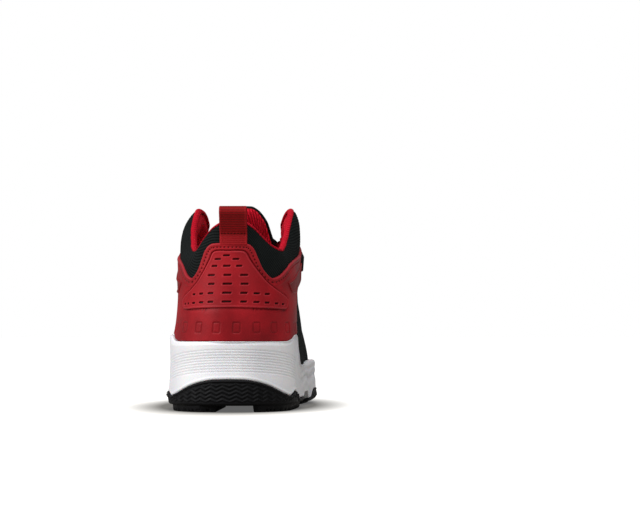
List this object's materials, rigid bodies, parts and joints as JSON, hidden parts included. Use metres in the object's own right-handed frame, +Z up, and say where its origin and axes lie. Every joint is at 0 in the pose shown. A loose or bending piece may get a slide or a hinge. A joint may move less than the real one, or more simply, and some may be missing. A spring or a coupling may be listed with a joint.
{
  "type": "basketball high top",
  "caption": "Padded high-top sports shoe for the left foot: cupped white midsole on lugged black rubber, moulded heel overlay, laced throat with tongue, and a webbing pull loop.",
  "frame": {"origin": "on the ground, at the middle of the sole's box", "axes": "+Z up, +Y from heel to toe, +X towards the big-toe (medial) side of this left shoe"},
  "size_m": [0.109, 0.3021, 0.1455],
  "materials": {
    "black_rubber": "matte, fine herringbone tread",
    "white_foam": "moulded foam with a matte skin",
    "shank_plastic": "satin moulded plate",
    "board": "pressed fibre board",
    "cushion_foam": "soft foam",
    "black_mesh": "ribbed knitted mesh",
    "red_lining": "ribbed knitted lining",
    "counter_board": "stiff moulded sheet",
    "pad_foam": "open-cell foam",
    "red_overlay": "moulded synthetic leather, fine grain",
    "black_overlay": "synthetic leather, fine grain",
    "red_webbing": "ribbed webbing",
    "black_webbing": "woven webbing",
    "lace_fabric": "flat woven lace",
    "lace_tip": "glossy tip"
  },
  "bodies": {
    "shoe": {"outsole_heel": "black_rubber", "outsole_forefoot": "black_rubber", "shank_plate": "shank_plastic", "midsole": "white_foam", "strobel_board": "board", "heel_cushion": "cushion_foam", "sockliner": "black_mesh", "vamp": "black_mesh", "vamp_lining": "red_lining", "toe_puff": "counter_board", "toe_cap": "black_overlay", "quarter_lateral": "black_mesh", "quarter_medial": "black_mesh", "heel_counter": "counter_board", "collar_foam": "pad_foam", "collar_lining": "red_lining", "collar_binding": "red_lining", "heel_overlay": "red_overlay", "heel_panel": "red_overlay", "eyestay_lateral": "red_overlay", "eyestay_medial": "red_overlay", "side_band_lateral": "red_overlay", "side_band_medial": "red_overlay", "lace_strap_lateral": "black_webbing", "lace_strap_medial": "black_webbing", "lace_loops_lateral": "black_webbing", "lace_loops_medial": "black_webbing", "lace": "lace_fabric", "lace_tips": "lace_tip", "pull_tab_base": "red_webbing"},
    "tongue": {"tongue_shell": "black_mesh", "tongue_foam": "pad_foam", "tongue_lining": "red_lining"},
    "pull_loop": {"pull_loop": "red_webbing"}
  },
  "joints": [
    {"name": "tongue_tip", "type": "hinge", "parent": "shoe", "child": "tongue", "pos_m": [0.0025, 0.066, 0.0715], "axis": [1, 0, 0], "range_deg": [0, 12], "stiffness_Nm_per_rad": 0.12, "springref_deg": -20.05},
    {"name": "pull_loop_flop", "type": "hinge", "parent": "shoe", "child": "pull_loop", "pos_m": [0.0047, -0.1444, 0.121], "axis": [1, 0, 0], "range_deg": [0, 95], "stiffness_Nm_per_rad": 0.01}
  ]
}
